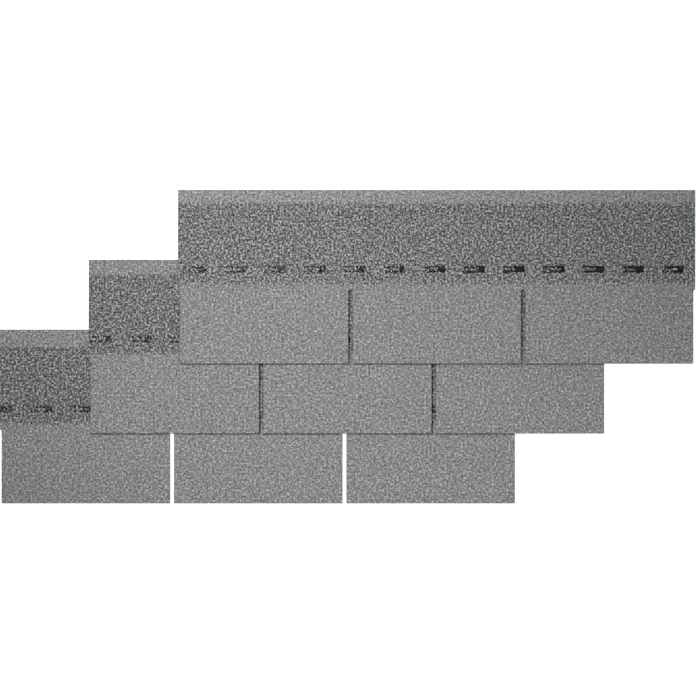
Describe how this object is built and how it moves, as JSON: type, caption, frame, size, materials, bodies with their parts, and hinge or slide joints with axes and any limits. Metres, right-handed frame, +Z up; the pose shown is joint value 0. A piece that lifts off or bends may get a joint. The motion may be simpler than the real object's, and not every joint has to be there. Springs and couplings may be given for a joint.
{
  "type": "lapped set of three-tab asphalt shingles",
  "caption": "Granule-surfaced strip shingles with cutouts and sealant dabs, lapped in stepped courses to cover a roof in staggered tabs.",
  "frame": {"origin": "middle of the footprint's box, on the floor that the bottom shingle lies on", "axes": "+X along the shingles' length, towards the side that the upper courses are shifted to; +Y up the courses, from the butt edges towards the top edges; +Z up, out of the granule face"},
  "size_m": [1.345, 0.606, 0.0103],
  "materials": {
    "granule_surface": "matte",
    "sealant": "satin"
  },
  "bodies": {
    "root": {"shingle_bottom": "granule_surface", "shingle_middle": "granule_surface", "shingle_top": "granule_surface", "sealant_bottom": "sealant", "sealant_middle": "sealant", "sealant_top": "sealant"}
  },
  "joints": []
}
